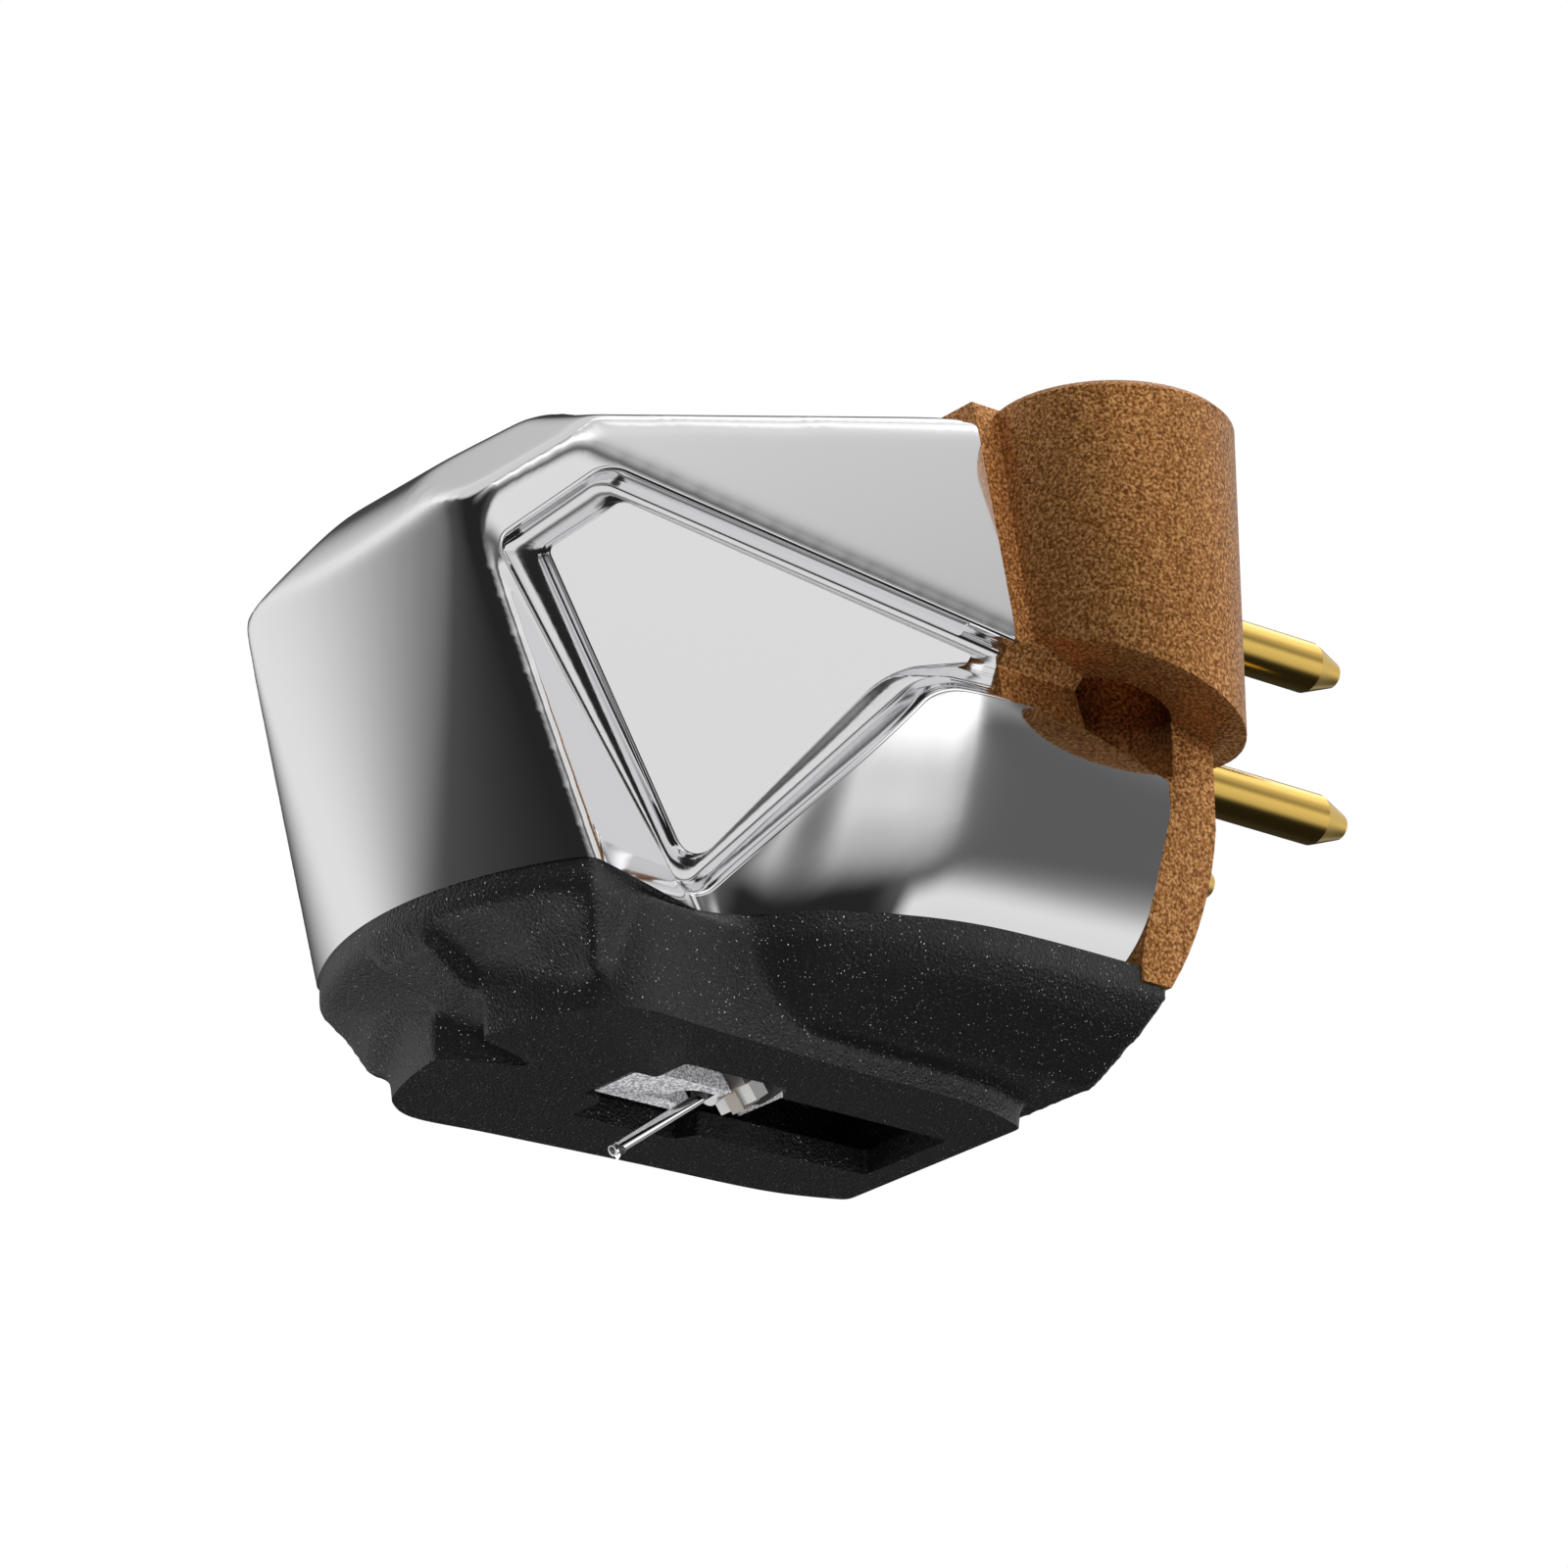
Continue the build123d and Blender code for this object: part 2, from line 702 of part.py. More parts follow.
# Bracket: lies on the magnet and the poles and turns up against the frame's front face
with BuildPart() as generator_bracket:
    with BuildSketch(Plane.YZ):
        with BuildLine():
            Polyline(
                (front_pole_y, magnet_top_z),
                (flange_y, magnet_top_z),
                (flange_y, bracket_top_z),
                (flange_y - bracket_thickness, bracket_top_z),
                (flange_y - bracket_thickness, magnet_top_z + bracket_thickness),
                (front_pole_y, magnet_top_z + bracket_thickness),
                close=True,
            )
        make_face()
    extrude(amount=magnet_half_width, both=True)
    with BuildSketch(Plane.XZ.offset(-flange_y)):
        with Locations((-screw_x, screw_z), (screw_x, screw_z)):
            Circle(screw_radius + 2 * thread_clearance)
    extrude(amount=bracket_thickness, mode=Mode.SUBTRACT)
generator_bracket.part.label = "generator_bracket"
export_step(generator_bracket.part, "parts/generator_bracket.step")

with BuildPart() as bracket_screws:
    with BuildSketch(Plane.XZ.offset(bracket_thickness - flange_y)):
        with Locations((-screw_x, screw_z), (screw_x, screw_z)):
            Circle(screw_head_radius)
    extrude(amount=screw_head_height)
    with BuildSketch(Plane.XZ.offset(bracket_thickness - flange_y)):
        with Locations((-screw_x, screw_z), (screw_x, screw_z)):
            Circle(screw_radius)
    extrude(amount=-bracket_thickness - screw_length)
    with BuildSketch(Plane.XZ.offset(bracket_thickness - flange_y + screw_head_height)):
        with Locations((-screw_x, screw_z), (screw_x, screw_z)):
            Rectangle(2 * screw_head_radius, screw_head_height / 2)
    extrude(amount=-screw_head_height / 2, mode=Mode.SUBTRACT)
bracket_screws.part.label = "bracket_screws"
export_step(bracket_screws.part, "parts/bracket_screws.step")

with BuildPart() as suspension_holder:
    add(tube(holder_radius, wire_radius + holder_clearance, holder_rear, holder_front))
suspension_holder.part.label = "suspension_holder"
export_step(suspension_holder.part, "parts/suspension_holder.step")

with BuildPart() as tension_wire:
    add(tube(wire_radius, 0, wire_rear, wire_front))
tension_wire.part.label = "tension_wire"
export_step(tension_wire.part, "parts/tension_wire.step")

with BuildPart() as damper:
    add(tube(damper_radius, damper_hole, damper_rear, damper_front))
damper.part.label = "damper"
export_step(damper.part, "parts/damper.step")

# Armature: a square plate with a hole for the tension wire, behind the cantilever
armature_rear = armature_centre - armature_thickness / 2
with BuildPart() as armature:
    with BuildSketch(generator.offset(armature_rear)):
        Rectangle(armature_size, armature_size)
        Circle(armature_bore, mode=Mode.SUBTRACT)
    extrude(amount=armature_thickness)
armature.part.label = "armature"
export_step(armature.part, "parts/armature.step")

# Two crossed coils, one round each pair of the armature's sides
centre = generator.offset(armature_centre)
for name, across, wide, lift in (
    ("left", centre.y_dir, centre.x_dir, 0),
    ("right", centre.x_dir, centre.y_dir, coil_wall),
):
    with BuildPart() as coil:
        with BuildSketch(Plane(origin=centre.origin, x_dir=across, z_dir=wide)):
            Rectangle(armature_size + 2 * coil_wall, armature_thickness + 2 * (lift + coil_wall))
            Rectangle(armature_size, armature_thickness + 2 * lift, mode=Mode.SUBTRACT)
        extrude(amount=coil_width / 2, both=True)
        with BuildSketch(centre):
            Circle(cantilever_radius + holder_clearance)
        extrude(amount=armature_size, both=True, mode=Mode.SUBTRACT)
    coil.part.label = f"coil_{name}"
    export_step(coil.part, f"parts/coil_{name}.step")

# Stylus: a diamond rod with a cone tip, upright through the end of the cantilever
stylus_y, stylus_axis_z = from_pivot(stylus_reach, 0)
stylus_tip_z = stylus_axis_z - stylus_drop
with BuildPart() as stylus:
    with BuildSketch(Plane.YZ):
        with BuildLine():
            Polyline(
                (stylus_y, stylus_tip_z),
                (stylus_y + stylus_radius, stylus_tip_z + 2 * stylus_radius),
                (stylus_y + stylus_radius, stylus_tip_z + stylus_length),
                (stylus_y, stylus_tip_z + stylus_length),
                close=True,
            )
        make_face()
    revolve(axis=Axis((0, stylus_y, 0), (0, 0, 1)))
stylus.part.label = "stylus"
export_step(stylus.part, "parts/stylus.step")

with BuildPart() as cantilever:
    add(tube(cantilever_radius, cantilever_bore, armature_rear + armature_thickness, cantilever_end))
    with BuildSketch(Plane.XY.offset(stylus_tip_z)):
        with Locations((0, stylus_y)):
            Circle(stylus_radius)
    extrude(amount=2 * stylus_length, mode=Mode.SUBTRACT)
cantilever.part.label = "cantilever"
export_step(cantilever.part, "parts/cantilever.step")

with BuildPart() as cantilever_collar:
    add(tube(collar_radius, cantilever_radius, collar_start, collar_end))
cantilever_collar.part.label = "cantilever_collar"
export_step(cantilever_collar.part, "parts/cantilever_collar.step")

# Lead wires: from each pin tail down the pocket to the back of the rear pole
with BuildPart() as lead_wires:
    for side in (-1, 1):
        for z, turn in ((pin_upper_z, 0), (pin_lower_z, lead_pitch)):
            fall_y = lead_y + turn
            low_z = magnet_top_z + lead_rise - turn
            tail = (side * pin_x, pocket_rear_y - pin_tail, z)
            with BuildLine():
                Polyline(
                    tail,
                    (side * pin_x, fall_y, z),
                    (side * pin_x, fall_y, low_z),
                    (side * pole_half_width / 2, rear_pole_y + lead_radius, low_z - lead_dip),
                )
            with BuildSketch(Plane(origin=tail, z_dir=(0, -1, 0))):
                Circle(lead_radius)
            sweep(transition=Transition.RIGHT)
lead_wires.part.label = "lead_wires"
export_step(lead_wires.part, "parts/lead_wires.step")
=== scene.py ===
# %% [markdown]
# # A turntable stylus cartridge
# The imported CAD model is the frame that everything hangs on. It is loaded first.

# %% Load the frame
import bpy
import bmesh
import json
from math import atan2, cos, pi, radians, sin, sqrt, tan
from mathutils import Matrix, Vector
from mathutils.bvhtree import BVHTree


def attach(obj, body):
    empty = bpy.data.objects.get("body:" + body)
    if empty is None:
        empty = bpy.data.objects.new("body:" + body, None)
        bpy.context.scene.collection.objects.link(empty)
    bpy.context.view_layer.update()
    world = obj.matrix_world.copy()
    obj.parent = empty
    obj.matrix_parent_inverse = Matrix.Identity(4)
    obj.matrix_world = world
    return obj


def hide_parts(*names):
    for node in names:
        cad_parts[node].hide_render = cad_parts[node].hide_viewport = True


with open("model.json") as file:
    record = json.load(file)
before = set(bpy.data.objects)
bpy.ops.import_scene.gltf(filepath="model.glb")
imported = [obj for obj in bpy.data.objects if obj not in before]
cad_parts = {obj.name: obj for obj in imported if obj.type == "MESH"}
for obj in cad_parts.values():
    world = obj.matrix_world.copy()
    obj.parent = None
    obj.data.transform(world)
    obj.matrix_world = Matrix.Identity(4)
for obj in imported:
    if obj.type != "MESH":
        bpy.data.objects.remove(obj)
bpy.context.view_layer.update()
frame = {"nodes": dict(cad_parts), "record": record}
MM = 0.001

# %% [markdown]
# The camera stands below the cartridge, ahead of its right side, and looks up at it, so the underside
# with its slot shows. A long lens keeps the sides nearly parallel. The three rows are the camera's own
# axes in the frame of the model: right, up and back.

# %% Camera
camera_data = bpy.data.cameras.new("camera")
camera_data.sensor_width = 36
camera_data.lens = 153.58
camera_data.clip_start = 0.005
camera_data.clip_end = 10
camera = bpy.data.objects.new("camera", camera_data)
bpy.context.collection.objects.link(camera)
camera_axes = Matrix((
    (0.6174, 0.3029, 0.7260),
    (0.7866, -0.2233, -0.5757),
    (-0.0122, 0.9265, -0.3762),
))
CAMERA_PLACE = (0.111497, -0.09302, -0.06559)
camera.matrix_world = Matrix.Translation(CAMERA_PLACE) @ camera_axes.to_4x4()
bpy.context.scene.camera = camera
print("camera at", [round(v, 4) for v in camera.location])

# %% [markdown]
# A mirror shows its surroundings, so polished steel needs a studio worth reflecting. The world gives one:
# soft white panels fading into a dark room, each set by the direction in which it stands. What the camera
# sees straight past the object is plain white.

# %% Studio
world = bpy.data.worlds.new("studio")
world.use_nodes = True
bpy.context.scene.world = world
tree = world.node_tree
tree.nodes.clear()
direction = tree.nodes.new("ShaderNodeTexCoord").outputs["Generated"]


def math_node(tree, operation, *values):
    """One Math node; each value is a number or a socket."""
    node = tree.nodes.new("ShaderNodeMath")
    node.operation = operation
    for place, value in enumerate(values):
        if hasattr(value, "is_linked"):
            tree.links.new(value, node.inputs[place])
        else:
            node.inputs[place].default_value = value
    return node.outputs[0]


def fade(tree, value, start, end):
    """A value turned into a soft step: 0 at the start, 1 at the end."""
    node = tree.nodes.new("ShaderNodeMapRange")
    node.interpolation_type = "SMOOTHSTEP"
    tree.links.new(value, node.inputs["Value"])
    node.inputs["From Min"].default_value = start
    node.inputs["From Max"].default_value = end
    return node.outputs["Result"]


def toward(x, y, z):
    """How far the looked-at direction points along a given one."""
    dot = tree.nodes.new("ShaderNodeVectorMath")
    dot.operation = "DOT_PRODUCT"
    tree.links.new(direction, dot.inputs[0])
    dot.inputs[1].default_value = (x, y, z)
    return dot.outputs["Value"]


height = math_node(tree, "MULTIPLY", math_node(tree, "ARCSINE", toward(0, 0, 1)), 180 / pi)


def softbox(azimuth, inner, outer, low, high, soft, strength):
    """A soft box round one compass direction: half widths, then its heights and its edge, in degrees."""
    ahead = toward(cos(radians(azimuth)), sin(radians(azimuth)), 0)
    aside = toward(-sin(radians(azimuth)), cos(radians(azimuth)), 0)
    turn = math_node(tree, "MULTIPLY", math_node(tree, "ARCTAN2", aside, ahead), 180 / pi)
    across = fade(tree, math_node(tree, "ABSOLUTE", turn), outer, inner)
    above = fade(tree, height, low - soft, low + soft)
    below = fade(tree, height, high + soft, high - soft)
    inside = math_node(tree, "MULTIPLY", across, above)
    return math_node(tree, "MULTIPLY", inside, math_node(tree, "MULTIPLY", below, strength))


print("world", world.name)

# %% [markdown]
# Each soft box covers a range of compass directions and a range of heights, both in degrees and both with
# soft edges. A facet is bright where its mirror direction, seen from the camera, falls into a box.

# %% Soft boxes
# azimuth, half width where it is full, half width where it ends, low edge, high edge, softness, strength
boxes = (
    (201, 3, 42, -60, 50, 12, 0.92),
    (202, 10, 85, -60, 50, 12, 0.1),
    (180, 20, 50, -75, -38, 10, 0.8),
    (34, 34, 44, -32, 8, 9, 0.95),
    (84, 36, 46, -10, 60, 12, 0.9),
    (-12, 26, 48, 26, 62, 14, 0.8),
    (18, 22, 46, 0, 60, 18, 0.12),
    (45, 60, 100, 40, 100, 8, 0.85),
    (200, 90, 130, 46, 100, 9, 0.85),
)
DARK_ROOM = 0.025
light = DARK_ROOM
for box in boxes:
    light = math_node(tree, "ADD", light, softbox(*box))
room = tree.nodes.new("ShaderNodeBackground")
tree.links.new(light, room.inputs["Strength"])
white = tree.nodes.new("ShaderNodeBackground")
white.inputs["Color"].default_value = (1, 1, 1, 1)
white.inputs["Strength"].default_value = 1.0
mix = tree.nodes.new("ShaderNodeMixShader")
tree.links.new(tree.nodes.new("ShaderNodeLightPath").outputs["Is Camera Ray"], mix.inputs[0])
tree.links.new(room.outputs[0], mix.inputs[1])
tree.links.new(white.outputs[0], mix.inputs[2])
tree.links.new(mix.outputs[0], tree.nodes.new("ShaderNodeOutputWorld").inputs[0])
bpy.context.scene.view_settings.view_transform = "Standard"
print("soft boxes", len(boxes))

# %% [markdown]
# Two lamps light the dull pieces. They are hidden from mirrors, which show the soft boxes alone.

# %% Lamps
def area_light(name, place, size, power):
    """A square soft light at a place in metres, aimed at the middle of the cartridge."""
    data = bpy.data.lights.new(name, "AREA")
    data.size = size
    data.energy = power
    lamp = bpy.data.objects.new(name, data)
    lamp.location = place
    aim = Vector((0, -0.004, -0.008)) - Vector(place)
    lamp.rotation_euler = aim.to_track_quat("-Z", "Y").to_euler()
    lamp.visible_glossy = False
    bpy.context.collection.objects.link(lamp)
    return lamp


lamps = [
    area_light("key", (0.0985, -0.126, 0.03), 0.05, 0.5),
    area_light("under", (0.06, 0.02, -0.13), 0.08, 0.26),
]
print("lamps", [lamp.name for lamp in lamps])

# %% [markdown]
# The floor is well below the cartridge, and the camera looks up past it. It shows only in other views.
# Polished pieces mirror the studio in its place, so it is hidden from glossy rays.

# %% Floor
FLOOR_Z = -0.14
floor_mesh = bpy.data.meshes.new("floor")
bm = bmesh.new()
bmesh.ops.create_grid(bm, x_segments=1, y_segments=1, size=1.5)
bmesh.ops.translate(bm, verts=bm.verts, vec=(0, 0, FLOOR_Z))
bm.to_mesh(floor_mesh)
bm.free()
floor = bpy.data.objects.new("floor", floor_mesh)
bpy.context.collection.objects.link(floor)
floor.visible_glossy = False
print("floor at", FLOOR_Z)

# %% [markdown]
# ## Finishes
# Every finish is a small node tree that reads Object coordinates, in metres. A grain of a tenth of a
# millimetre therefore needs a noise scale of several thousand.

# %% Material helpers
class Finish:
    """A material with its node tree and the few links that all finishes share."""

    def __init__(self, name, color, metallic, roughness):
        self.material = bpy.data.materials.new(name)
        self.material.use_nodes = True
        self.tree = self.material.node_tree
        self.shader = self.tree.nodes["Principled BSDF"]
        self.shader.inputs["Base Color"].default_value = (*color, 1)
        self.shader.inputs["Metallic"].default_value = metallic
        self.shader.inputs["Roughness"].default_value = roughness
        self.place = self.tree.nodes.new("ShaderNodeTexCoord").outputs["Object"]

    def stretched(self, scale, turn=(0, 0, 0)):
        """Object coordinates, turned and stretched."""
        node = self.tree.nodes.new("ShaderNodeMapping")
        node.inputs["Rotation"].default_value = turn
        node.inputs["Scale"].default_value = scale
        self.tree.links.new(self.place, node.inputs["Vector"])
        return node.outputs[0]

    def noise(self, scale, detail=2, vector=None):
        """A noise value over the surface."""
        node = self.tree.nodes.new("ShaderNodeTexNoise")
        node.inputs["Scale"].default_value = scale
        node.inputs["Detail"].default_value = detail
        self.tree.links.new(vector or self.place, node.inputs["Vector"])
        return node.outputs["Fac"]

    def ramp(self, value, *stops):
        """A colour ramp: each stop is a place and a colour."""
        node = self.tree.nodes.new("ShaderNodeValToRGB")
        ends = node.color_ramp.elements
        while len(ends) < len(stops):
            ends.new(0.5)
        for end, (at, color) in zip(ends, stops):
            end.position = at
            end.color = (*color, 1)
        self.tree.links.new(value, node.inputs["Fac"])
        return node.outputs["Color"]

    def spread(self, value, low, high, new_low, new_high):
        """A value moved from one range to another."""
        node = self.tree.nodes.new("ShaderNodeMapRange")
        self.tree.links.new(value, node.inputs["Value"])
        for name, number in zip(("From Min", "From Max", "To Min", "To Max"), (low, high, new_low, new_high)):
            node.inputs[name].default_value = number
        return node.outputs["Result"]

    def bump(self, height, strength, distance):
        """Relief from a height value."""
        node = self.tree.nodes.new("ShaderNodeBump")
        node.inputs["Strength"].default_value = strength
        node.inputs["Distance"].default_value = distance
        self.tree.links.new(height, node.inputs["Height"])
        self.tree.links.new(node.outputs["Normal"], self.shader.inputs["Normal"])

    def link(self, value, socket):
        """Joins a value to one of the shader's sockets."""
        self.tree.links.new(value, self.shader.inputs[socket])


def wear(piece, finish):
    """Gives a piece one finish all over."""
    piece.data.materials.clear()
    piece.data.materials.append(finish.material)


# %% [markdown]
# Polished steel is nearly white and nearly smooth. A faint, slow change of roughness keeps it from
# looking like glass. Sand-blasted copper is the opposite: a coarse relief of small pits, with painted shade in
# the floors of the pits and painted highlights on their rims. The black cover gets painted glints, fine white
# specks in its base colour, in a dull ground.

# %% Finishes of the three big pieces
polished = Finish("polished_steel", (0.86, 0.86, 0.87), 1, 0.04)
polished.link(polished.spread(polished.noise(400), 0.3, 0.7, 0.035, 0.06), "Roughness")

brushed = Finish("brushed_steel", (0.84, 0.84, 0.85), 1, 0.2)
lines = brushed.noise(9000, 2, brushed.stretched((1, 0.06, 1), (radians(-30), 0, 0)))
brushed.link(brushed.spread(lines, 0.3, 0.7, 0.08, 0.17), "Roughness")
brushed.bump(lines, 0.1, 0.00001)

copper = Finish("blasted_copper", (0.4, 0.17, 0.05), 0.92, 0.42)
pits = copper.noise(13000, 3)
# The pit floors are painted shade and the pit rims painted highlights; only the middle stop is the copper's
# own colour.
painted_pit_shade, ground, painted_rim_highlight = (0.17, 0.062, 0.016), (0.42, 0.18, 0.053), (0.78, 0.42, 0.17)
copper.link(copper.ramp(pits, (0.34, painted_pit_shade), (0.5, ground), (0.68, painted_rim_highlight)), "Base Color")
copper.bump(pits, 0.8, 0.00003)

black = Finish("black_cover", (0.004, 0.004, 0.004), 0, 0.37)
black.shader.inputs["Specular IOR Level"].default_value = 0.5
grain = black.noise(14000, 2)
# Painted glints: white specks in the base colour stand in for sparkles of light.
glint_noise = black.noise(26000, 0)
painted_glints = black.ramp(glint_noise, (0.78, (0.004, 0.004, 0.004)), (0.86, (0.28, 0.28, 0.27)))
black.link(painted_glints, "Base Color")
black.bump(grain, 1.0, 0.00004)
print("finishes", [m.name for m in bpy.data.materials])


# %% [markdown]
# ## The polished shell
# On the real object the shell is machined from solid and then polished until its edges go soft. The same
# order works here. Flat cuts through a block give the facets, a fan of cuts gives the round nose and the
# crown of the hood, and the parts are fused and smoothed, which softens every edge as polishing does.
# Everything here is in millimetres until the last step.

# %% Carving helpers
def cut(bm, point, normal):
    """Cuts away all that lies in front of a plane and closes the cut."""
    everything = bm.verts[:] + bm.edges[:] + bm.faces[:]
    bmesh.ops.bisect_plane(bm, geom=everything, plane_co=point, plane_no=normal, clear_outer=True)
    bmesh.ops.holes_fill(bm, edges=bm.edges[:], sides=0)


def plane_through(first, second, third):
    """A point and the normal of the plane through three points, by the right-hand rule."""
    start = Vector(first)
    normal = (Vector(second) - start).cross(Vector(third) - start).normalized()
    return start, normal


def both_sides(planes):
    """The planes and their mirror images in the middle plane."""
    twins = [(Vector((-p[0], p[1], p[2])), Vector((-n[0], n[1], n[2]))) for p, n in planes]
    return list(planes) + twins


def carved(planes):
    """A large block cut by planes."""
    bm = bmesh.new()
    bmesh.ops.create_cube(bm, size=60)
    for point, normal in planes:
        cut(bm, point, normal)
    return bm


def into_object(bm, name):
    """A new object from a bmesh, with its normals outward."""
    bmesh.ops.recalc_face_normals(bm, faces=bm.faces)
    mesh = bpy.data.meshes.new(name)
    bm.to_mesh(mesh)
    bm.free()
    piece = bpy.data.objects.new(name, mesh)
    bpy.context.collection.objects.link(piece)
    return piece


def join_into(bm, other):
    """Copies a bmesh into another one."""
    mesh = bpy.data.meshes.new("part")
    other.to_mesh(mesh)
    other.free()
    bm.from_mesh(mesh)
    bpy.data.meshes.remove(mesh)


# %% [markdown]
# A carved mesh becomes an object and goes through whole-object steps. Fusing melts overlapping parts into
# one skin and smooths it. Subtracting cuts the crisp seams afterwards. Every piece ends the same way: it
# goes to metres, gets its finish and is tied to the CAD body that it rides on.

# %% Object helpers
def apply_modifiers(piece):
    """Replaces the mesh of a piece by what its modifiers make of it."""
    depsgraph = bpy.context.evaluated_depsgraph_get()
    mesh = bpy.data.meshes.new_from_object(piece.evaluated_get(depsgraph))
    piece.modifiers.clear()
    old = piece.data
    piece.data = mesh
    bpy.data.meshes.remove(old)


ASKEW = Matrix.Rotation(0.76, 4, Vector((0.7, -0.6, -0.8)))


def fuse(piece, voxel, passes):
    """Melts overlapping parts into one skin of even quads and smooths it.

    The piece stands askew meanwhile, so that none of its edges runs along the voxel grid and goes wavy.
    """
    piece.data.transform(ASKEW)
    remesh = piece.modifiers.new("fuse", "REMESH")
    remesh.mode = "VOXEL"
    remesh.voxel_size = voxel
    smooth = piece.modifiers.new("polish", "SMOOTH")
    smooth.factor = 0.5
    smooth.iterations = passes
    apply_modifiers(piece)
    piece.data.transform(ASKEW.inverted())


def subtract(piece, *cutters):
    """Cuts other objects out of a piece and deletes them."""
    for cutter in cutters:
        boolean = piece.modifiers.new("cut", "BOOLEAN")
        boolean.operation = "DIFFERENCE"
        boolean.solver = "EXACT"
        boolean.object = cutter
        apply_modifiers(piece)
        mesh = cutter.data
        bpy.data.objects.remove(cutter)
        bpy.data.meshes.remove(mesh)


def trim(piece, point, normal):
    """Cuts away all of a piece that lies in front of a plane."""
    bm = bmesh.new()
    bmesh.ops.create_cube(bm, size=90)
    cut(bm, Vector(point), -Vector(normal).normalized())
    subtract(piece, into_object(bm, "trimming"))


def finish_piece(piece, finish, body, slot, *nodes):
    """Brings a piece to metres, gives it its finish, ties it to its CAD body and hides the CAD nodes it
    replaces.
    """
    piece.data.transform(Matrix.Scale(MM, 4))
    piece.data.update()
    for face in piece.data.polygons:
        face.use_smooth = True
    wear(piece, finish)
    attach(piece, body)
    if nodes:
        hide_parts(*nodes)
    print(piece.name, len(piece.data.polygons), "faces")


# %% [markdown]
# The facets meet at a few corners, which are all that the planes need. The flank leans in towards the
# bottom and the nose; the upper facet and the two shoulders close it towards the hood. The nose is round
# at the rim and nearly flat at the brow, so each cut of its fan leans by its own angle.

# %% Facets of the shell
RIM_Z = -13.4
FLANGE_Y = -3.55
NOSE_Y = -6.3
NOSE_RADIUS = 9.25
BROW_Z = -5.65
BROW_REACH = 10.72
BROW_ROUND = 30.0
shoulder = (5.71, -13.9, -3.2)
flange_edge = (5.89, FLANGE_Y, -0.45)
facet_end = (7.1, FLANGE_Y, -6.3)
roll = (4.0, -13.9, -2.6)
crease = (5.49, -13.9, -4.0)
nose_edge = (4.84, -15.9, -4.79)
flank_normal = Vector((1, -0.2166, -0.2762)).normalized()
flank = (Vector((9.608, 0, 0)), flank_normal)
flare = (Vector((-2.484, 0, 0)), Vector((1, 0.342, 0.217)).normalized())
upper_facet = plane_through(crease, facet_end, flange_edge)
rear_shoulder = plane_through(shoulder, flange_edge, roll)
front_shoulder = plane_through(shoulder, roll, nose_edge)

brow_line = [(0.42 * i, BROW_REACH - BROW_ROUND + sqrt(BROW_ROUND ** 2 - (0.42 * i) ** 2)) for i in range(11)]
nose_fan = []
for step in range(-33, 34):
    turn = radians(1.5 * step)
    outward = Vector((sin(turn), -cos(turn), 0))
    point = Vector((0, NOSE_Y, RIM_Z)) + NOSE_RADIUS * outward
    brow = max(ahead * cos(turn) + aside * abs(sin(turn)) for aside, ahead in brow_line)
    rake = atan2(brow - NOSE_RADIUS, BROW_Z - RIM_Z)
    nose_fan.append((point, outward * cos(rake) - Vector((0, 0, sin(rake)))))

print("cuts round the nose", len(nose_fan))

# %% [markdown]
# Seen from the side, the crown of the hood is a smooth line from the nose to the bosses. Cuts step along
# it, each square to the line. A second, flared block joins the flank to the nose on each side.

# %% Crown of the hood
hood_line = [
    (-17.45, -6.9), (-17.0, -5.5), (-16.1, -3.9), (-14.5, -2.6),
    (-12.5, -1.35), (-10.3, -0.75), (-7.0, -0.5), (FLANGE_Y, -0.45),
]


def on_curve(a, b, c, d, t):
    """The point at share t of the way from b to c on a smooth line through four points, and its tangent."""
    across, pull, bend = c - a, 2 * a - 5 * b + 4 * c - d, 3 * b - a - 3 * c + d
    point = 0.5 * (2 * b + across * t + pull * t ** 2 + bend * t ** 3)
    tangent = 0.5 * (across + 2 * pull * t + 3 * bend * t ** 2)
    return point, tangent


def hood_fan():
    """Cuts that step along the crown of the hood, each square to the profile's tangent."""
    ends = [hood_line[0]] + hood_line + [hood_line[-1]]
    fan = []
    for i in range(1, len(ends) - 2):
        a, b, c, d = (Vector((0, y, z)) for y, z in ends[i - 1:i + 3])
        for step in range(6):
            point, slope = on_curve(a, b, c, d, step / 6)
            fan.append((point, Vector((0, -slope.z, slope.y)).normalized()))
    return fan


# The block is left longer than the finished shell, so that the fusing rounds only what is cut off later.
SPARE = 1.0
ends_planes = [
    (Vector((0, 0, RIM_Z - SPARE)), Vector((0, 0, -1))),
    (Vector((0, FLANGE_Y + SPARE, 0)), Vector((0, 1, 0))),
]
side_facets = both_sides([flank, upper_facet, rear_shoulder, front_shoulder])
shell_bm = carved(side_facets + nose_fan + hood_fan() + ends_planes)
for side in (1, -1):
    turned = (Vector((side * flare[0].x, 0, 0)), Vector((side * flare[1].x, flare[1].y, flare[1].z)))
    inner = (Vector((0, 0, 0)), Vector((-side, 0, 0)))
    back = (Vector((0, -9, 0)), Vector((0, 1, 0)))
    crown = hood_fan() + ends_planes[:1] + both_sides([upper_facet, front_shoulder])
    join_into(shell_bm, carved([turned, inner, back] + nose_fan + crown))
print("facets", len(shell_bm.faces))

# %% [markdown]
# Curved bodies are easier to describe by outlines than by cuts. A smooth line runs through a few points,
# an outline is one such line and its mirror image, and bridging outlines at several heights makes a body.

# %% Outline helpers
def smooth_points(points, steps):
    """Points along a smooth line through a few given ones."""
    ends = [points[0]] + list(points) + [points[-1]]
    line = []
    for i in range(1, len(ends) - 2):
        a, b, c, d = (Vector(p) for p in ends[i - 1:i + 3])
        line += [on_curve(a, b, c, d, step / steps)[0] for step in range(steps)]
    line.append(Vector(points[-1]))
    return line


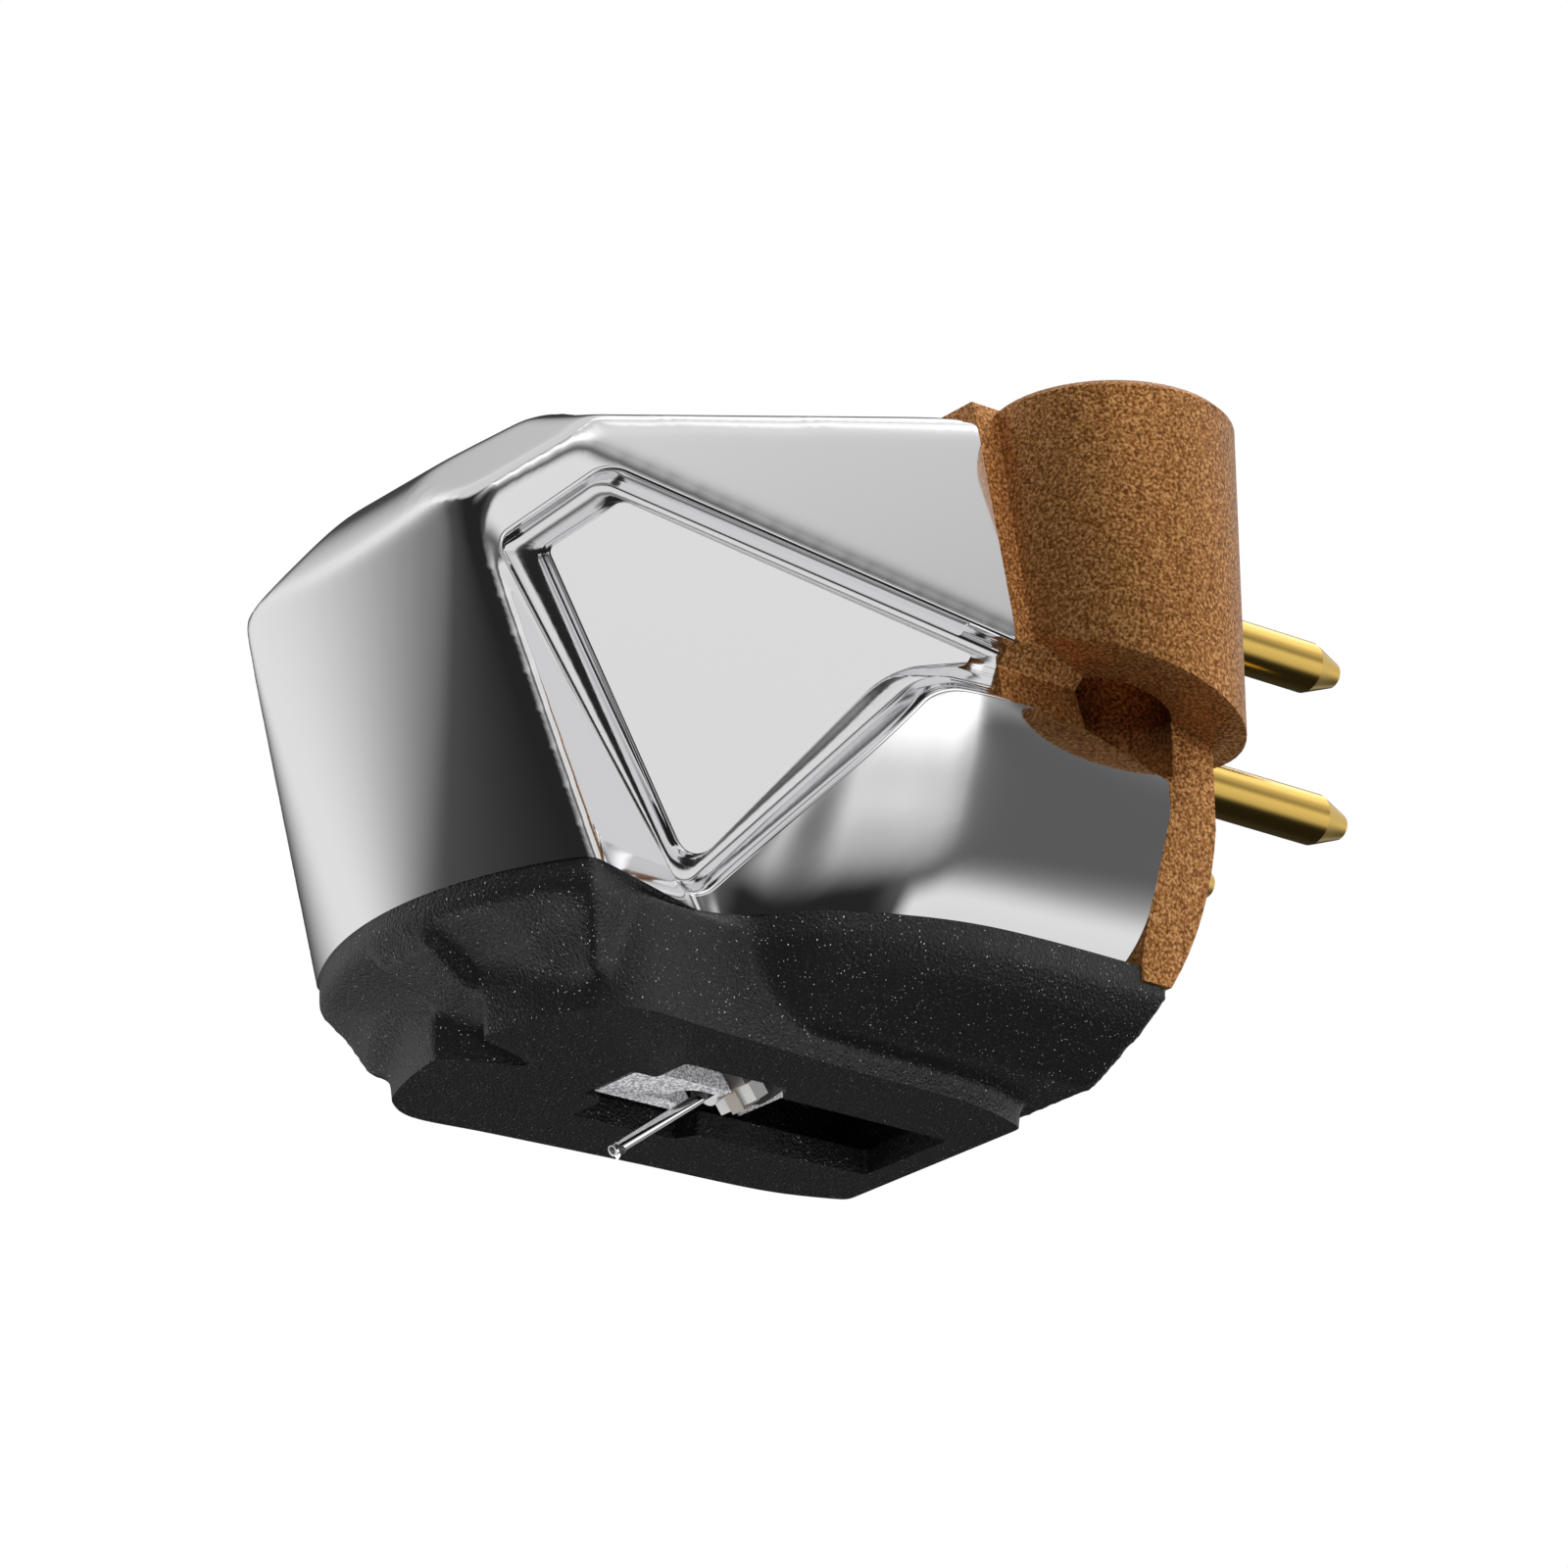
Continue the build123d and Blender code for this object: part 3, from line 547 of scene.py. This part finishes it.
def outline_loop(bm, points, z):
    """A closed loop of edges at one height."""
    verts = [bm.verts.new((p[0], p[1], z)) for p in points]
    return [bm.edges.new((verts[i - 1], verts[i])) for i in range(len(verts))]


def mirrored_outline(half):
    """A half outline and its mirror image, as one round."""
    return list(half) + [(-p[0], p[1]) for p in reversed(half)]


def bridged(levels):
    """A closed body through outlines at several heights: levels are (z, points)."""
    bm = bmesh.new()
    loops = [outline_loop(bm, points, z) for z, points in levels]
    for low, high in zip(loops, loops[1:]):
        bmesh.ops.bridge_loops(bm, edges=low + high)
    for end in (loops[0], loops[-1]):
        bmesh.ops.contextual_create(bm, geom=end)
    bmesh.ops.recalc_face_normals(bm, faces=bm.faces)
    return bm


def block(low, high, name="block"):
    """A plain box between two corners, as a cutter."""
    bm = bmesh.new()
    bmesh.ops.create_cube(bm, size=1)
    size = [h - l for l, h in zip(low, high)]
    middle = [(h + l) / 2 for l, h in zip(low, high)]
    bmesh.ops.scale(bm, vec=size, verts=bm.verts)
    bmesh.ops.translate(bm, vec=middle, verts=bm.verts)
    return into_object(bm, name)


# %% [markdown]
# The lower rear of the shell swells out of the flat flank. Outlines at several heights, each a little
# narrower than the widest one, give it the belly of a barrel: the top of the swell leans up to the light,
# and the foot tucks under towards the rim.

# %% Rear swell of the shell
swell_low = [(3.6, -11.1), (3.92, -10.5), (4.45, -9.25), (5.7, -7.85), (6.55, -6.5), (6.87, -4.6), (6.98, 2.0)]
swell_high = [(3.1, -9.4), (3.35, -8.8), (4.95, -7.3), (5.95, -6.35), (6.7, -4.8), (7.0, -3.8), (7.3, 2.0)]
SWELL_TOP = -7.7
# Each pair is a height and how far the outline stands out or in there.
belly = [
    (-14.4, -0.62), (-13.4, -0.24), (-12.9, -0.1), (-12.3, 0.0), (-11.4, 0.05),
    (-10.4, 0.04), (-9.4, 0.02), (-8.5, -0.06), (SWELL_TOP, -0.2), (-6.7, -0.45), (-5.6, -0.9),
]


def swell_outline(z, out):
    """The outline of the swell at one height, moved out or in."""
    share = (z - RIM_Z) / (SWELL_TOP - RIM_Z)
    half = []
    for low, high in zip(swell_low, swell_high):
        spot = Vector(low).lerp(Vector(high), share)
        half.append((spot.x + out, spot.y))
    return mirrored_outline(smooth_points(half, 12))


join_into(shell_bm, bridged([(z, swell_outline(z, out)) for z, out in smooth_points(belly, 5)]))
shell = into_object(shell_bm, "shell_polished")
fuse(shell, voxel=0.11, passes=50)
print("shell skin", len(shell.data.polygons))

# %% [markdown]
# The seams with the other pieces stay crisp, so they are cut after the polishing: the flat rim, the slanted
# rear end and the step where the frame's bosses begin. Two planes under the bosses give the crest of the
# swell its slight arch. Blocks make the room inside for the generator and for the frame.

# %% Seams and inside of the shell
REAR_Y = 0.8
trim(shell, (0, 0, RIM_Z), (0, 0, -1))
trim(shell, (0, REAR_Y, -9.6), (0, 1, 0))
trim(shell, (0, REAR_Y, -9.6), (0, 3.8, -0.92))
for y, z, slope in ((FLANGE_Y, -7.75, -0.144), (REAR_Y, -8.8, -0.336)):
    above = bmesh.new()
    bmesh.ops.create_cube(above, size=24)
    bmesh.ops.translate(above, verts=above.verts, vec=(0, FLANGE_Y + 12, 0))
    cut(above, Vector((0, y, z)), Vector((0, slope, -1)).normalized())
    subtract(shell, into_object(above, "above"))
skin = BVHTree.FromObject(shell, bpy.context.evaluated_depsgraph_get())
generator_room = block((-2.9, -10.8, -14), (2.9, -3.4, -5.5))
frame_room = block((-5.5, -3.6, -14), (5.5, 2, -6.5))
subtract(shell, generator_room, frame_room)
print("shell with its seams", len(shell.data.polygons))

# %% [markdown]
# ## The groove and the raised panel
# A milling cutter ran round each flank and left a triangular panel standing in its own trench. Both
# outlines lie in the plane of the flank. Each is six corners, every one rounded by bevelling its vertex.

# %% Groove outline on the flank
flank_right = Vector((0.2166, 1, 0)).normalized()
flank_up = flank_normal.cross(flank_right)
flank_origin = Vector((5.2324, -10, -8))
flank_matrix = Matrix((
    (flank_right.x, flank_up.x, flank_normal.x, flank_origin.x),
    (flank_right.y, flank_up.y, flank_normal.y, flank_origin.y),
    (flank_right.z, flank_up.z, flank_normal.z, flank_origin.z),
    (0, 0, 0, 1),
))
groove_corners = [(-6.15, 1.75), (-3.6, 4.0), (9.6, 1.12), (9.6, 0.05), (4.95, 0.25), (-0.62, -5.7)]
groove_radii = [0.5, 1.0, 0.45, 0.45, 1.2, 0.8]
panel_corners = [(-4.85, 1.78), (-3.15, 3.2), (5.75, 1.2), (5.6, 0.9), (3.7, 0.45), (-0.62, -4.75)]
panel_radii = [0.25, 0.5, 0.1, 0.1, 2.2, 0.6]


def rounded_face(bm, corners, radii, z, segments=10, spacing=30):
    """A face with rounded corners: each corner is a vertex, bevelled to its radius. Long edges are divided."""
    verts = [bm.verts.new((x, y, z)) for x, y in corners]
    bm.faces.new(verts)
    for i, radius in enumerate(radii):
        here = Vector(corners[i])
        before = (Vector(corners[i - 1]) - here).normalized()
        after = (Vector(corners[(i + 1) % len(corners)]) - here).normalized()
        reach = radius / tan(before.angle(after) / 2)
        bmesh.ops.bevel(
            bm, geom=[verts[i]], offset=reach, offset_type="OFFSET", segments=segments,
            profile=0.5, affect="VERTICES", material=-1,
        )
    for edge in bm.edges[:]:
        if edge.calc_length() > spacing:
            bmesh.ops.subdivide_edges(bm, edges=[edge], cuts=int(edge.calc_length() / spacing))
    bm.faces.ensure_lookup_table()
    face = bm.faces[0]
    face.normal_update()
    if face.normal.z < 0:
        face.normal_flip()
    return face


def stepped(bm, face, steps):
    """Insets a face again and again: each step is a width inward and a rise."""
    for width, rise in steps:
        bmesh.ops.inset_region(
            bm, faces=[face], thickness=width, depth=rise, use_even_offset=True, use_boundary=True,
        )
    return face


print("corners of the groove and the panel", len(groove_corners), len(panel_corners))

# %% [markdown]
# Insets step over the groove's soft edge and down its wall. The panel is made the same way, upwards, and
# the floor bridges the two.

# %% Groove and panel
groove_bm = bmesh.new()
outer = rounded_face(groove_bm, groove_corners, groove_radii, 0.0, spacing=0.12)
down = [
    (0.04, 0), (0.04, 0), (0.03, -0.015), (0.03, -0.035), (0.03, -0.06), (0.04, -0.12),
    (0.05, -0.13), (0.05, -0.095), (0.05, -0.055), (0.05, -0.025), (0.04, -0.01),
]
outer = stepped(groove_bm, outer, down)
outer_edges = list(outer.edges)
groove_bm.faces.remove(outer)
floor_z = outer_edges[0].verts[0].co.z
panel_bm = bmesh.new()
panel = rounded_face(panel_bm, panel_corners, panel_radii, 0.0, spacing=0.4)
stepped(panel_bm, panel, [(0.02, 0.4), (0.012, 0.07), (0.02, 0.05), (0.03, 0.02)])
bmesh.ops.translate(panel_bm, verts=panel_bm.verts, vec=(0, 0, floor_z))
first_of_panel = len(groove_bm.verts)
join_into(groove_bm, panel_bm)
groove_bm.verts.index_update()
panel_verts = {v.index for v in groove_bm.verts if v.index >= first_of_panel}
loose = [e for e in groove_bm.edges if e.is_boundary and all(abs(v.co.z - floor_z) < 0.001 for v in e.verts)]
bmesh.ops.bridge_loops(groove_bm, edges=loose)
print("groove floor at", round(floor_z, 3), "edges bridged", len(loose))

# %% [markdown]
# The insert is built in the plane of the flank, but the polished skin is not quite flat. A ray from outside
# finds the skin at each point of the lip, and the lip is moved to it: its rim just under the skin, the rest
# just over it. Then the insert is turned into place, trimmed where the groove runs out at the back of the
# shell, and mirrored for the other side.

# %% Groove insert in place
RIM_SUNK = -0.015
LIP_PROUD = 0.006
WALL_SHARE = 0.98
rim_verts = {v for v in groove_bm.verts if v.is_boundary}
gaps = []
for vert in groove_bm.verts:
    depth = vert.co.z / floor_z
    spot = flank_matrix @ vert.co
    hit = skin.ray_cast(spot + 2 * flank_normal, -flank_normal, 3)
    if hit[0] and depth < WALL_SHARE and vert.index not in panel_verts:
        gap = (hit[0] - flank_origin).dot(flank_normal)
        gaps.append(gap)
        vert.co.z += (gap + (RIM_SUNK if vert in rim_verts else LIP_PROUD)) * (1 - depth)
print("rim of the insert", len(gaps), "from", round(min(gaps), 3), "to", round(max(gaps), 3))
bmesh.ops.transform(groove_bm, matrix=flank_matrix, verts=groove_bm.verts)
everything = groove_bm.verts[:] + groove_bm.edges[:] + groove_bm.faces[:]
bmesh.ops.bisect_plane(
    groove_bm, geom=everything, plane_co=(0, FLANGE_Y, 0), plane_no=(0, 1, 0), clear_outer=True,
)
geometry = groove_bm.verts[:] + groove_bm.edges[:] + groove_bm.faces[:]
bmesh.ops.mirror(groove_bm, geom=geometry, matrix=Matrix(), merge_dist=0.0001, axis="X")
groove = into_object(groove_bm, "shell_groove")
groove.modifiers.new("even_shading", "WEIGHTED_NORMAL").weight = 100

# %% [markdown]
# A pocket in each flank makes room for the insert. It is the groove's outline, a little smaller and drawn
# out into a block, so the shell's skin ends just inside the insert's lip.

# %% Pockets for the insert
pockets = []
for side in (1, -1):
    bm = bmesh.new()
    face = rounded_face(bm, groove_corners, groove_radii, -0.9, 6)
    bmesh.ops.inset_region(bm, faces=[face], thickness=0.05, depth=0, use_boundary=True, use_even_offset=True)
    ring = [f for f in bm.faces if f is not face]
    bmesh.ops.delete(bm, geom=ring, context="FACES_ONLY")
    wall = bmesh.ops.extrude_face_region(bm, geom=[face])
    top = [v for v in wall["geom"] if isinstance(v, bmesh.types.BMVert)]
    bmesh.ops.translate(bm, verts=top, vec=(0, 0, 1.6))
    for v in [v for v in bm.verts if not v.link_faces]:
        bm.verts.remove(v)
    bmesh.ops.transform(bm, matrix=flank_matrix, verts=bm.verts)
    bmesh.ops.scale(bm, vec=(side, 1, 1), verts=bm.verts)
    pockets.append(into_object(bm, "pocket"))
subtract(shell, *pockets)
print("shell with its pockets", len(shell.data.polygons))

# %% [markdown]
# The floor of the groove keeps the cutter's marks, while its walls, its soft edges and the panel are
# polished. Faces that lie at the floor's depth therefore get the brushed finish.

# %% Finish of the shell
finish_piece(shell, polished, "cartridge_body", "polished_steel", "polished_shell")
shell.data.set_sharp_from_angle(angle=radians(45))
finish_piece(groove, polished, "cartridge_body", "polished_steel", "polished_shell")
groove.data.materials.append(brushed.material)
for face in groove.data.polygons:
    center = face.center / MM
    away = Vector((abs(center.x), center.y, center.z)) - flank_origin
    if away.dot(flank_normal) < floor_z + 0.02:
        face.material_index = 1
groove.data.set_sharp_from_angle(angle=radians(50))

# %% [markdown]
# ## The frame
# The frame is a sand-blasted casting. Its CAD solid has the right form but knife-sharp edges, so a copy
# of it gets a narrow bevel all round: blasting takes the edges off in the same way.

# %% Blasted frame
def softened(node, name, width):
    """A copy of a CAD node in millimetres, with its flat faces joined up and its edges bevelled."""
    bm = bmesh.new()
    bm.from_mesh(frame["nodes"][node].data)
    bmesh.ops.scale(bm, vec=(1 / MM,) * 3, verts=bm.verts)
    bmesh.ops.remove_doubles(bm, verts=bm.verts, dist=0.0005)
    piece = into_object(bm, name)
    flat = piece.modifiers.new("flat", "DECIMATE")
    flat.decimate_type = "DISSOLVE"
    flat.angle_limit = radians(0.5)
    edges = piece.modifiers.new("edges", "BEVEL")
    edges.limit_method = "ANGLE"
    edges.angle_limit = radians(32)
    edges.width = width
    edges.segments = 3
    apply_modifiers(piece)
    return piece


frame_skin = softened("rear_frame", "frame_blasted", 0.09)
finish_piece(frame_skin, copper, "cartridge_body", "blasted_copper", "rear_frame")
frame_skin.data.set_sharp_from_angle(angle=radians(40))

# %% [markdown]
# ## The bottom cover
# The cover is moulded. Big coves join its raised middle to the rim, which is what smoothing does to two
# overlapping blocks, while the flat plate and the slot keep their edges because they are cut afterwards.

# %% Outlines of the cover
rim = [(5.15, -13.9), (4.2, -11.75), (3.9, -10.3), (4.35, -9.0), (5.65, -7.75), (6.9, -4.5), (7.0, 0.75)]
low_rim = [(4.75, -13.55), (4.0, -11.7), (3.75, -10.3), (4.2, -8.9), (5.4, -7.4), (6.4, -4.5), (6.4, 0.6)]
low_belly = [(4.2, -13.2), (3.9, -12.0), (3.3, -10.3), (3.6, -8.6), (4.3, -7.0), (4.8, -4.5), (4.8, 0.4)]
plate_edge = [(3.85, -13.1), (4.5, -12.0), (4.35, -9.8), (4.1, -6.0), (3.93, -2.3), (3.35, -0.2)]
foot_edge = [(3.65, -12.9), (4.3, -11.9), (4.15, -9.8), (3.9, -6.0), (3.7, -2.4), (3.1, -0.45)]


def nose_arc(half, front_y, steps=8):
    """A half outline that starts at the middle of the nose: an arc out to the first corner, then on."""
    x, y = half[0]
    sag = y - front_y
    radius = (x * x + sag * sag) / (2 * sag)
    middle = front_y + radius
    arc = []
    for step in range(1, steps + 1):
        across = x * step / steps
        arc.append((across, middle - sqrt(radius ** 2 - across ** 2)))
    return [(0.0, front_y)] + arc[:-1] + [(p[0], p[1]) for p in smooth_points(half, 10)]


def whole(half):
    """A half outline from the nose's middle, closed with its mirror image."""
    return half + [(-p[0], p[1]) for p in reversed(half[1:])]


print("rim points", len(whole(nose_arc(rim, -15.5))))

# %% [markdown]
# The sight ramp at the nose is a V-shaped notch with a tongue in it. Both are the same wedge: one is cut
# out and one is added.

# %% Sight ramp
PLATE_Z = -16.2
RAMP_TIP = -11.4
RAMP_SLOPE = tan(radians(25))


def tongue(half_width, tip_y, front_y, drop, tall):
    """A wedge that points rearward from the nose: its underside runs down to the plate at the ramp's slope."""
    bm = bmesh.new()
    low = []
    high = []
    for x, y in ((-half_width, front_y), (half_width, front_y), (0.0, tip_y)):
        z = PLATE_Z - drop + (RAMP_TIP - y) * RAMP_SLOPE
        low.append(bm.verts.new((x, y, z)))
        high.append(bm.verts.new((x, y, z + tall)))
    bm.faces.new(low)
    bm.faces.new(high)
    for i in range(3):
        bm.faces.new((low[i - 1], low[i], high[i], high[i - 1]))
    return bm


# %% [markdown]
# The raised middle and the lip are each bridged through outlines, and the fusing makes the coves between
# them.

# %% Body of the cover
pedestal = into_object(bridged([
    (-13.6, whole(nose_arc(plate_edge, -13.95))),
    (-16.8, whole(nose_arc(foot_edge, -13.7))),
]), "pedestal")
subtract(pedestal, into_object(tongue(1.1, RAMP_TIP, -14.6, 2.4, 2.4), "notch"))
cove = [(0.0, -14.0), (1.4, -13.9), (2.9, -13.9)]
deep_cove = [(0.0, -13.3), (1.4, -13.2), (2.9, -13.2)]
cover_bm = bridged([
    (-12.4, whole(nose_arc(rim, -15.55))),
    (-14.0, whole(nose_arc(rim, -15.5))),
    (-14.6, whole(cove + [tuple(p) for p in smooth_points(low_rim, 10)])),
    (-15.6, whole(deep_cove + [tuple(p) for p in smooth_points(low_belly, 10)])),
])
cover_bm.from_mesh(pedestal.data)
bpy.data.objects.remove(pedestal)
join_into(cover_bm, tongue(1.1, RAMP_TIP + 0.5, -15.3, 0.05, 1.6))
cover = into_object(cover_bm, "cover_black")
fuse(cover, voxel=0.12, passes=14)
trim(cover, (0, 0, PLATE_Z), (0, 0, -1))
trim(cover, (0, 0, RIM_Z), (0, 0, 1))

print("cover skin", len(cover.data.polygons))

# %% [markdown]
# The slot, the hollow behind it and the step for the frame are cut last, so their edges stay crisp.

# %% Slot of the cover
slot_half = [(1.0, -9.75), (1.0, -9.1), (2.1, -9.1), (2.1, -6.3), (1.55, -6.0), (1.5, -1.2)]
bm = bmesh.new()
face = rounded_face(bm, mirrored_outline(slot_half), [0.1] * 12, PLATE_Z - 0.5, 4)
raised = bmesh.ops.extrude_face_region(bm, geom=[face])
top = [v for v in raised["geom"] if isinstance(v, bmesh.types.BMVert)]
bmesh.ops.translate(bm, verts=top, vec=(0, 0, 1.3))
slot_cutter = into_object(bm, "slot")
hollow = block((-2.6, -11, -15.6), (2.6, -0.9, -13))
step_for_frame = block((-9, -0.12, -13.78), (9, 2, -13))
subtract(cover, hollow, slot_cutter, step_for_frame)
finish_piece(cover, black, "cartridge_body", "black_cover", "base_cover")
cover.data.set_sharp_from_angle(angle=radians(45))

# %% [markdown]
# The small parts keep their CAD meshes and only get better finishes. The record says which material slot
# each node has, and each slot has one finish.

# %% Finishes of the small parts
gold = Finish("gold", (0.78, 0.52, 0.13), 1, 0.2)
dark = Finish("insulator", (0.02, 0.02, 0.02), 0, 0.5)
iron = Finish("pole_iron", (0.6, 0.6, 0.6), 0.4, 0.4)
iron.link(iron.ramp(iron.noise(16000, 2), (0.4, (0.25, 0.25, 0.26)), (0.6, (0.75, 0.75, 0.77))), "Base Color")
plain_steel = Finish("screw_steel", (0.5, 0.5, 0.5), 1, 0.3)
magnet_finish = Finish("magnet", (0.2, 0.2, 0.21), 0.8, 0.4)
bracket_finish = Finish("bracket_metal", (0.4, 0.4, 0.41), 1, 0.35)
rubber = Finish("damper_rubber", (0.02, 0.02, 0.02), 0, 0.7)
armature_finish = Finish("armature_iron", (0.7, 0.7, 0.68), 0.5, 0.3)
wire = Finish("copper_wire", (0.55, 0.5, 0.45), 0.9, 0.35)
drawn = Finish("cantilever_metal", (0.8, 0.8, 0.81), 1, 0.15)
diamond = Finish("diamond", (0.9, 0.9, 0.9), 0, 0.05)
finishes = {
    "gold": gold, "insulator": dark, "pole_iron": iron, "screw_steel": plain_steel, "magnet": magnet_finish,
    "bracket_metal": bracket_finish, "damper_rubber": rubber, "armature_iron": armature_finish,
    "copper_wire": wire, "cantilever_metal": drawn, "diamond": diamond, "polished_steel": polished,
    "blasted_copper": copper, "black_cover": black,
}
for part in frame["record"]["subparts"]:
    wear(frame["nodes"][part["node"]], finishes[part["material_slot"]])
print("nodes finished", len(frame["nodes"]))

# %% [markdown]
# Two drops of dark glue hold the cantilever in its collar and the stylus in the cantilever. They ride on
# the stylus, so they swing with it.

# %% Glue
glue = Finish("glue", (0.03, 0.028, 0.026), 0, 0.25)


def glue_drop(name, center, radii):
    """A small rounded drop, in metres, that moves with the stylus."""
    bm = bmesh.new()
    bmesh.ops.create_uvsphere(bm, u_segments=24, v_segments=14, radius=1)
    bmesh.ops.scale(bm, vec=radii, verts=bm.verts)
    bmesh.ops.translate(bm, vec=center, verts=bm.verts)
    drop = into_object(bm, name)
    for face in drop.data.polygons:
        face.use_smooth = True
    wear(drop, glue)
    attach(drop, "stylus_assembly")
    return drop


glue_drop("glue_at_stylus", (0, -0.00942, -0.01766), (0.00016, 0.0002, 0.00012))
glue_drop("glue_at_collar", (0, -0.00712, -0.01588), (0.00023, 0.00018, 0.0002))
print("glue drops 2")
